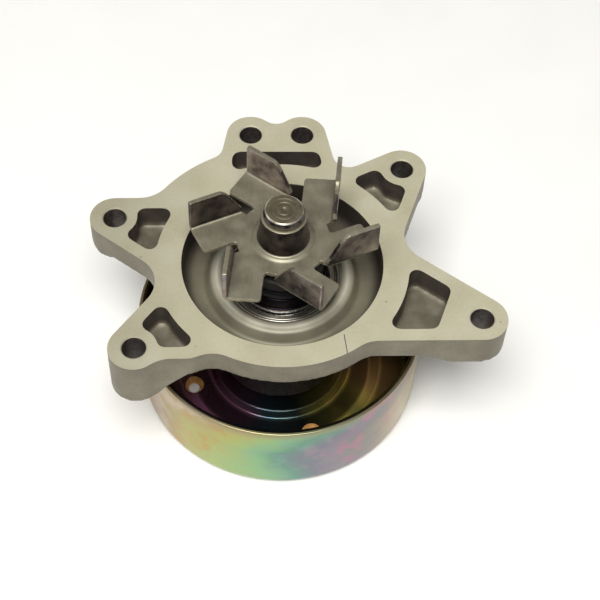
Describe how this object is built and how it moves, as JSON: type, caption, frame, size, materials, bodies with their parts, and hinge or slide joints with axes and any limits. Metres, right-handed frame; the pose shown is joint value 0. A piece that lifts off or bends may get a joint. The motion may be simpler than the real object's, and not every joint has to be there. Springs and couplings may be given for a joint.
{
  "type": "engine water pump",
  "caption": "Engine coolant pump: cast flanged housing with bolt lobes, open pressed-steel impeller and a smooth cup pulley on one bearing shaft, with its seal and bearing inside.",
  "frame": {"origin": "pump axis at the plane of the gasket face", "axes": "+Z along the pump axis out of the gasket face, towards the impeller; +Y towards the pair of neighbouring bolt lobes; +X along the flange's longest side"},
  "size_m": [0.124, 0.1025, 0.0812],
  "materials": {
    "cast_aluminium": "die-cast, machined gasket face",
    "bearing_steel": "ground",
    "nitrile_rubber": "matt",
    "cage_polyamide": "moulded",
    "shaft_steel": "turned and ground",
    "pressed_steel": "bare cold-rolled sheet",
    "yellow_zinc_steel": "zinc plated with an iridescent yellow passivate",
    "stainless_steel": "stamped",
    "spring_steel": "drawn wire",
    "carbon_graphite": "lapped",
    "silicon_carbide": "lapped"
  },
  "bodies": {
    "housing": {"pump_housing": "cast_aluminium", "bearing_sleeve": "bearing_steel", "bearing_seal_rear": "nitrile_rubber", "bearing_seal_front": "nitrile_rubber", "seal_case": "stainless_steel", "seal_inner_band": "stainless_steel", "seal_bellows": "nitrile_rubber", "seal_spring": "spring_steel", "seal_head_shell": "stainless_steel", "seal_carbon_ring": "carbon_graphite"},
    "rotor": {"shaft": "shaft_steel", "slinger": "nitrile_rubber", "impeller": "pressed_steel", "pulley_hub": "shaft_steel", "pulley": "yellow_zinc_steel", "seat_sleeve": "stainless_steel", "seat_rubber_cup": "nitrile_rubber", "seat_ring": "silicon_carbide"},
    "rear_row": {"rear_balls": "bearing_steel", "rear_ball_cage": "cage_polyamide"},
    "front_row": {"front_rollers": "bearing_steel", "front_roller_cage": "cage_polyamide"}
  },
  "joints": [
    {"name": "rotor_spin", "type": "hinge", "parent": "housing", "child": "rotor", "pos_m": [0, 0, 0], "axis": [0, 0, 1], "continuous": true},
    {"name": "rear_row_spin", "type": "hinge", "parent": "housing", "child": "rear_row", "pos_m": [0, 0, -0.02567], "axis": [0, 0, 1], "continuous": true},
    {"name": "front_row_spin", "type": "hinge", "parent": "housing", "child": "front_row", "pos_m": [0, 0, -0.0385], "axis": [0, 0, 1], "continuous": true}
  ],
  "couplings": [
    {"joint": "rear_row_spin", "follows": "rotor_spin", "ratio": 0.3483},
    {"joint": "front_row_spin", "follows": "rotor_spin", "ratio": 0.3903}
  ]
}
